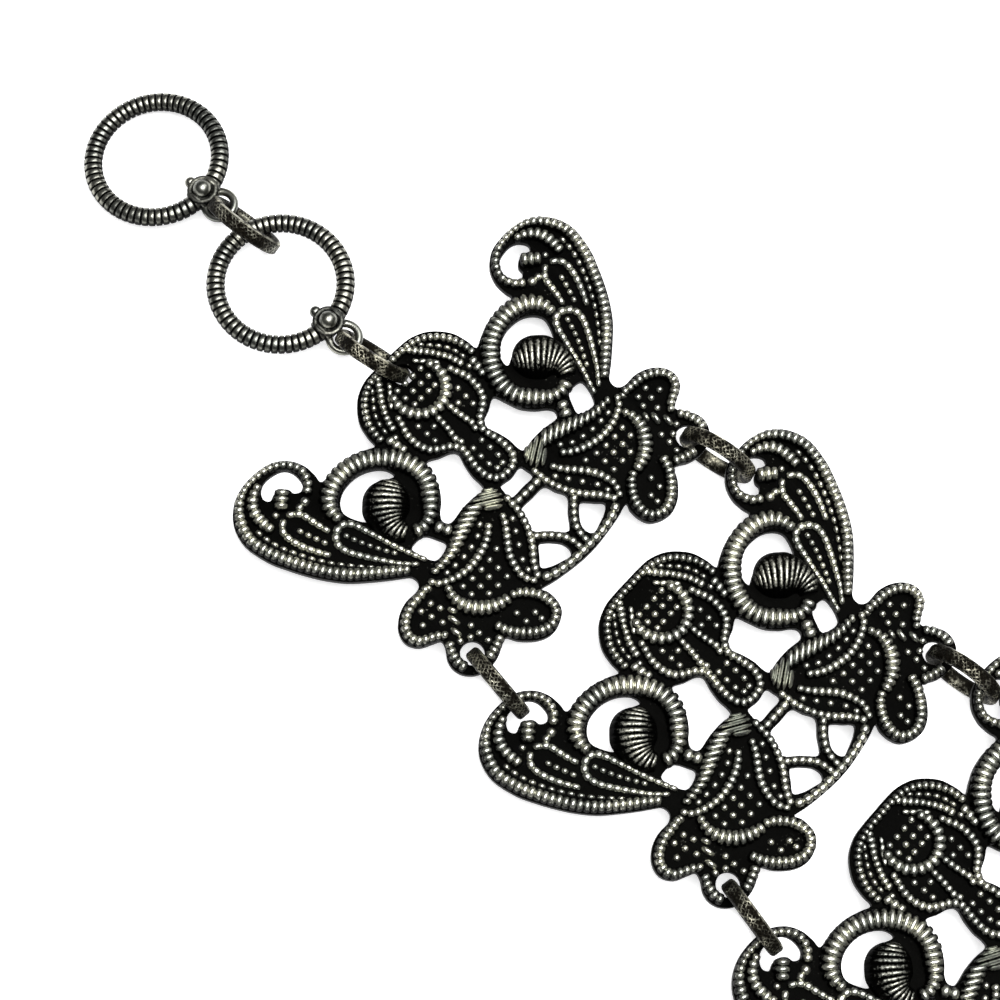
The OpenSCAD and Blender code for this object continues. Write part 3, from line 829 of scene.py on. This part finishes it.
def clasp_bar():
    """The bar across the clasp, between its eyes, with its edges rounded and worn."""
    reach = WING_PASS[1] - BAR_END
    bpy.ops.mesh.primitive_cube_add(
        size=1, location=Vector((CLASP_X + BAR_W / 2, 0, CLASP_T / 2)) * MM,
        scale=Vector((BAR_W, 2 * reach, CLASP_T)) * MM,
    )
    bar = settled("clasp_bar")
    bpy.ops.object.mode_set(mode="EDIT")
    bpy.ops.mesh.select_all(action="SELECT")
    bpy.ops.mesh.bevel(offset=0.15 * MM, segments=3)
    bpy.ops.object.mode_set(mode="OBJECT")
    set_crest(bar, 0.35 + 0.5 * ramp(np.sort(corner_normals(bar))[:, 1], 0.2, 0.5))
    return bar


def clasp_eye(side):
    """The eye at one end of the clasp's bar, as high as the bar."""
    place = (CLASP_X, side * WING_PASS[1], CLASP_T / 2)
    eye = hoop("clasp_eye", EYE_R, EYE_WIRE, place, around=40, across=12)
    spots = corners(eye) / MM
    spots[:, 2] = CLASP_T / 2 + (spots[:, 2] - CLASP_T / 2) * CLASP_T / 2 / EYE_WIRE
    place_corners(eye, spots * MM)
    even_crest(eye, 0.5)
    return eye


def hook_strip():
    """The flat hook: a strip that is spun up and back over itself and ends in a straight lip."""
    bpy.ops.mesh.primitive_cube_add(
        size=1, location=Vector(((HOOK_ROOT_X + HOOK_BEND_X) / 2, 0, CLASP_T / 2)) * MM,
        scale=Vector((HOOK_BEND_X - HOOK_ROOT_X, HOOK_W, CLASP_T)) * MM,
    )
    strip = settled("clasp_hook_strip")
    edit_faces(strip, lambda face: face.normal.x > 0.9)
    bend = Vector((HOOK_BEND_X, 0, CLASP_T + HOOK_GAP / 2)) * MM
    bpy.ops.mesh.spin(steps=14, angle=-math.pi, center=bend, axis=(0, -1, 0))
    bpy.ops.mesh.extrude_region_move(TRANSFORM_OT_translate={"value": (-HOOK_LIP * MM, 0, 0)})
    bpy.ops.object.mode_set(mode="OBJECT")
    face_outwards(strip)
    edge = strip.modifiers.new("edge", "BEVEL")
    edge.width = 0.18 * MM
    edge.segments = 3
    edge.limit_method = "ANGLE"
    bpy.ops.object.modifier_apply(modifier=edge.name)
    ways = corner_normals(strip)
    rim = np.minimum(ways[:, 1], np.hypot(ways[:, 0], ways[:, 2]))
    set_crest(strip, 0.35 + 0.5 * ramp(rim, 0.2, 0.5))
    return strip


def hook_clasp(bead):
    """The clasp: a bar with an eye at each end, edged with beads, and a flat hook."""
    pieces = [clasp_bar(), clasp_eye(-1), clasp_eye(1), hook_strip()]
    for aside in BAR_BEADS_X:
        x = CLASP_X + aside
        route = [(x, -BAR_BEADS_REACH, 0), (x, 0, 0), (x, BAR_BEADS_REACH, 0)]
        for bead_x, bead_y, _, heading, _ in steps_along(route, BAR_BEAD_PITCH):
            pieces.append(copy_at(bead, bead_x, bead_y, CLASP_T, heading, BAR_BEAD_SIZE))
    clasp = join(pieces, "clasp")
    face_outwards(clasp)
    bpy.ops.object.shade_smooth_by_angle(angle=SHARP_EDGE)
    spot = Vector(((PANELS - 1) * PITCH - MIDDLE_X, -MIDDLE_Y, LINK_OUTER - CLASP_T / 2)) * MM
    clasp.data.transform(Matrix.Translation(spot))
    return clasp


def node(tree, kind, **values):
    """Adds a shader node and sets its properties and inputs by name."""
    item = tree.nodes.new(kind)
    for name, value in values.items():
        if hasattr(item, name):
            setattr(item, name, value)
        else:
            item.inputs[name].default_value = value
    return item


def reckon(tree, operation, *values):
    """Adds a maths node on values that are each a number or another node's output."""
    item = node(tree, "ShaderNodeMath", operation=operation)
    for socket, value in zip(item.inputs, values):
        if isinstance(value, (int, float)):
            socket.default_value = value
        else:
            tree.links.new(value, socket)
    return item.outputs[0]


def new_material(name):
    """A new material and its node tree."""
    material = bpy.data.materials.new(name)
    material.use_nodes = True
    return material, material.node_tree


def wear_group():
    """Blackened silver whose ridges are rubbed bright: colour and roughness from the crest mask, and a fine
    grain for height.
    """
    tree = bpy.data.node_groups.new("rubbed_silver", "ShaderNodeTree")
    for name, kind, value in (
        ("Crest", "NodeSocketFloat", 0.5),
        ("Low", "NodeSocketFloat", 0.2),
        ("High", "NodeSocketFloat", 0.8),
        ("Speckle", "NodeSocketFloat", 0.3),
        ("Bright", "NodeSocketColor", (0.8, 0.8, 0.78, 1)),
        ("Dark", "NodeSocketColor", (0.01, 0.01, 0.01, 1)),
    ):
        socket = tree.interface.new_socket(name=name, in_out="INPUT", socket_type=kind)
        socket.default_value = value
    for name, kind in (
        ("Color", "NodeSocketColor"),
        ("Roughness", "NodeSocketFloat"),
        ("Height", "NodeSocketFloat"),
    ):
        tree.interface.new_socket(name=name, in_out="OUTPUT", socket_type=kind)
    link = tree.links.new
    start = tree.nodes.new("NodeGroupInput")
    end = tree.nodes.new("NodeGroupOutput")
    place = tree.nodes.new("ShaderNodeTexCoord")
    fine = node(tree, "ShaderNodeTexNoise", Scale=4200.0, Detail=3.0, Roughness=0.6)
    broad = node(tree, "ShaderNodeTexNoise", Scale=260.0, Detail=2.0, Roughness=0.5)
    link(place.outputs["Object"], fine.inputs["Vector"])
    link(place.outputs["Object"], broad.inputs["Vector"])

    speckle = reckon(
        tree, "MULTIPLY", reckon(tree, "SUBTRACT", fine.outputs["Fac"], 0.5), start.outputs["Speckle"]
    )
    uneven = reckon(tree, "MULTIPLY_ADD", broad.outputs["Fac"], 0.5, -0.25)
    total = reckon(tree, "ADD", reckon(tree, "ADD", start.outputs["Crest"], uneven), speckle)
    rubbed = node(tree, "ShaderNodeMapRange", interpolation_type="SMOOTHSTEP")
    link(total, rubbed.inputs["Value"])
    link(start.outputs["Low"], rubbed.inputs["From Min"])
    link(start.outputs["High"], rubbed.inputs["From Max"])

    tint = node(tree, "ShaderNodeMix", data_type="RGBA", blend_type="MULTIPLY", Factor=1.0)
    shades = node(tree, "ShaderNodeValToRGB")
    shades.color_ramp.elements[0].position = 0.35
    shades.color_ramp.elements[0].color = (0.6, 0.62, 0.61, 1)
    shades.color_ramp.elements[1].position = 0.65
    shades.color_ramp.elements[1].color = (1.0, 0.99, 0.92, 1)
    link(broad.outputs["Fac"], shades.inputs["Fac"])
    link(start.outputs["Bright"], tint.inputs[MIX_A])
    link(shades.outputs["Color"], tint.inputs[MIX_B])
    colour = node(tree, "ShaderNodeMix", data_type="RGBA")
    link(rubbed.outputs["Result"], colour.inputs["Factor"])
    link(start.outputs["Dark"], colour.inputs[MIX_A])
    link(tint.outputs[MIX_RESULT], colour.inputs[MIX_B])
    link(colour.outputs[MIX_RESULT], end.inputs["Color"])

    rough = node(tree, "ShaderNodeMapRange")
    link(rubbed.outputs["Result"], rough.inputs["Value"])
    rough.inputs["To Min"].default_value = 0.55
    rough.inputs["To Max"].default_value = 0.22
    scuffed = reckon(tree, "MULTIPLY_ADD", fine.outputs["Fac"], 0.18, rough.outputs["Result"])
    link(scuffed, end.inputs["Roughness"])
    link(fine.outputs["Fac"], end.inputs["Height"])
    return tree


def rub(tree, wear, crest, low, high, speckle, bright, dark):
    """Gives a material the rubbed silver after a crest mask, and returns its fine height."""
    worn = tree.nodes.new("ShaderNodeGroup")
    worn.node_tree = wear
    tree.links.new(crest, worn.inputs["Crest"])
    values = {"Low": low, "High": high, "Speckle": speckle, "Bright": bright, "Dark": dark}
    for name, value in values.items():
        worn.inputs[name].default_value = value
    shader = tree.nodes["Principled BSDF"]
    shader.inputs["Metallic"].default_value = 1.0
    tree.links.new(worn.outputs["Color"], shader.inputs["Base Color"])
    tree.links.new(worn.outputs["Roughness"], shader.inputs["Roughness"])
    return worn.outputs["Height"]


def bump(tree, height, strength, distance):
    """Feeds a height to a material's shader as a bump."""
    relief = node(tree, "ShaderNodeBump", Strength=strength, Distance=distance * MM)
    tree.links.new(height, relief.inputs["Height"])
    tree.links.new(relief.outputs["Normal"], tree.nodes["Principled BSDF"].inputs["Normal"])


def silver(name, wear, low, high, speckle, bright, dark, grain):
    """A silver finish that reads each piece's crest mask."""
    material, tree = new_material(name)
    mask = node(tree, "ShaderNodeAttribute", attribute_name="crest")
    height = rub(tree, wear, mask.outputs["Fac"], low, high, speckle, bright, dark)
    bump(tree, height, grain, 0.02)
    return material


def hatched_silver(name, wear):
    """The links' finish: a band engraved with a cross-hatch that runs round it on its own UV map, with the
    painted highlight streak from the crest mask.
    """
    material, tree = new_material(name)
    link = tree.links.new
    place = node(tree, "ShaderNodeUVMap", uv_map="UVMap")
    split = tree.nodes.new("ShaderNodeSeparateXYZ")
    link(place.outputs["UV"], split.inputs[0])
    noise = node(tree, "ShaderNodeTexNoise", Scale=9.0, Detail=2.0)
    stretch = node(tree, "ShaderNodeMapping", Scale=(6, 1, 1))
    link(place.outputs["UV"], stretch.inputs["Vector"])
    link(stretch.outputs["Vector"], noise.inputs["Vector"])
    waves = []
    for around, across in HATCH:
        along_band = reckon(tree, "MULTIPLY", split.outputs["X"], around * 2 * math.pi)
        over_band = reckon(tree, "MULTIPLY", split.outputs["Y"], across * 2 * math.pi)
        slanted = reckon(tree, "ADD", along_band, over_band)
        shaken = reckon(tree, "MULTIPLY_ADD", noise.outputs["Fac"], HATCH_WANDER, slanted)
        waves.append(reckon(tree, "SINE", shaken))
    hatch = reckon(tree, "MAXIMUM", *waves)
    engraved = reckon(tree, "MULTIPLY_ADD", hatch, 0.5, 0.5)

    spot = tree.nodes.new("ShaderNodeTexCoord")
    patches = node(tree, "ShaderNodeTexNoise", Scale=900.0, Detail=2.0)
    link(spot.outputs["Object"], patches.inputs["Vector"])
    worn_away = node(tree, "ShaderNodeMapRange")
    worn_away.inputs["From Min"].default_value = 0.35
    worn_away.inputs["From Max"].default_value = 0.7
    worn_away.inputs["To Min"].default_value = 0.5
    worn_away.inputs["To Max"].default_value = 1.5
    link(patches.outputs["Fac"], worn_away.inputs["Value"])
    # The crest mask brings the band's painted highlight streak and its lighter inside, laid over the hatch.
    edge = node(tree, "ShaderNodeAttribute", attribute_name="crest")
    raised = reckon(tree, "MULTIPLY", edge.outputs["Fac"], 1.4)
    hatch_or_painted_streak = reckon(tree, "MAXIMUM", engraved, raised)
    crest = reckon(tree, "MULTIPLY", hatch_or_painted_streak, worn_away.outputs["Result"])
    rub(tree, wear, crest, 0.6, 1.7, 1.4, (0.48, 0.46, 0.38, 1), (0.008, 0.007, 0.005, 1))
    bump(tree, crest, 0.9, 0.1)
    return material


def floor():
    """A plain pale floor."""
    bpy.ops.mesh.primitive_plane_add(size=6, location=(0, 0, -0.02 * MM))
    ground = made("floor")
    paper, tree = new_material("pale_floor")
    shader = tree.nodes["Principled BSDF"]
    shader.inputs["Base Color"].default_value = (0.85, 0.85, 0.85, 1)
    shader.inputs["Roughness"].default_value = 0.9
    shader.inputs["Specular IOR Level"].default_value = 0.1
    shader.inputs["Emission Color"].default_value = (1, 1, 1, 1)
    shader.inputs["Emission Strength"].default_value = 0.6
    ground.data.materials.append(paper)


def lights():
    """A wide soft light overhead, a weaker one from the right, in metres and watts, and pale surroundings."""
    for name, place, size, power in (
        ("overhead", (0, 0.02, 0.5), 0.36, 4.5),
        ("right_side", (-0.02, 0.3, 0.4), 0.3, 1.2),
    ):
        lamp = bpy.data.lights.new(name, "AREA")
        lamp.size = size
        lamp.energy = power
        light = bpy.data.objects.new(name, lamp)
        bpy.context.collection.objects.link(light)
        light.location = place
        light.rotation_euler = (-Vector(place)).to_track_quat("-Z", "Y").to_euler()

    world = bpy.data.worlds.new("studio")
    world.use_nodes = True
    bpy.context.scene.world = world
    tree = world.node_tree
    tree.nodes.clear()
    seen = node(tree, "ShaderNodeBackground", Color=(0.95, 0.95, 0.95, 1), Strength=1.0)
    around = node(tree, "ShaderNodeBackground", Color=(0.95, 0.97, 1, 1), Strength=0.06)
    rays = tree.nodes.new("ShaderNodeLightPath")
    mix = tree.nodes.new("ShaderNodeMixShader")
    out = tree.nodes.new("ShaderNodeOutputWorld")
    tree.links.new(rays.outputs["Is Camera Ray"], mix.inputs[0])
    tree.links.new(around.outputs[0], mix.inputs[1])
    tree.links.new(seen.outputs[0], mix.inputs[2])
    tree.links.new(mix.outputs[0], out.inputs["Surface"])


def camera():
    """Looks down on the rings' end from the photograph's side; its place is in metres."""
    data = bpy.data.cameras.new("camera")
    data.lens = 97.6
    data.sensor_width = 36
    data.clip_start = 0.01
    seen = bpy.data.objects.new("camera", data)
    bpy.context.collection.objects.link(seen)
    seen.location = (-0.011915, -0.057874, 0.236199)
    seen.rotation_euler = [math.radians(a) for a in (15.178, -3.373, 42.950)]
    bpy.context.scene.camera = seen
    bpy.context.scene.view_settings.view_transform = "Standard"
    bpy.context.scene.view_settings.look = "None"


wear = wear_group()
panel_silver = silver(
    "panel_silver", wear, low=0.28, high=0.97, speckle=1.5,
    bright=(0.68, 0.68, 0.62, 1), dark=(0.002, 0.002, 0.0018, 1), grain=0.8,
)
ring_silver = silver(
    "ring_silver", wear, low=0.15, high=1, speckle=0.8,
    bright=(0.3, 0.3, 0.275, 1), dark=(0.003, 0.003, 0.003, 1), grain=0.5,
)
link_silver = hatched_silver("link_silver", wear)

rib = half_bead("rib", 3, 0.44, 1)
bar = half_bead("bar", 3.2, 0.1, 0.8)
bead = half_bead("bead", 2.4, 0, 0.7)
bell_holes = [BELL_HOLE, (BELL_HOLE[0], -BELL_HOLE[1])]
first_panel = panel_relief(rib, bar, bead, [*bell_holes, HEAD_HOLE])
other_panel = panel_relief(rib, bar, bead, bell_holes)
for k in range(PANELS):
    spot = Vector((k * PITCH - MIDDLE_X, -MIDDLE_Y, PANEL_Z)) * MM
    place = Matrix.Translation(spot) @ Matrix.Rotation(math.radians(PANEL_TURN[k]), 4, "Z")
    panel = moved_copy(other_panel if k else first_panel, place)
    finished(panel, f"relief_panel_{k + 1}", f"panel_{k + 1}", panel_silver)

ring = corded_ring()
finished(moved_copy(ring, ring_place(END_RING)), "rope_ring_end", "end_ring", ring_silver)
finished(moved_copy(ring, ring_place(INNER_RING)), "rope_ring_inner", "inner_ring", ring_silver)

link = band_link()
for cad_node, place in all_link_places().items():
    finished(moved_copy(link, place), f"band_{cad_node}", cad_node, link_silver)

finished(hook_clasp(bead), "clasp_piece", "clasp_hook", ring_silver)

for spare in (rib, bar, bead, first_panel, other_panel, ring, link):
    bpy.data.objects.remove(spare)

floor()
lights()
camera()
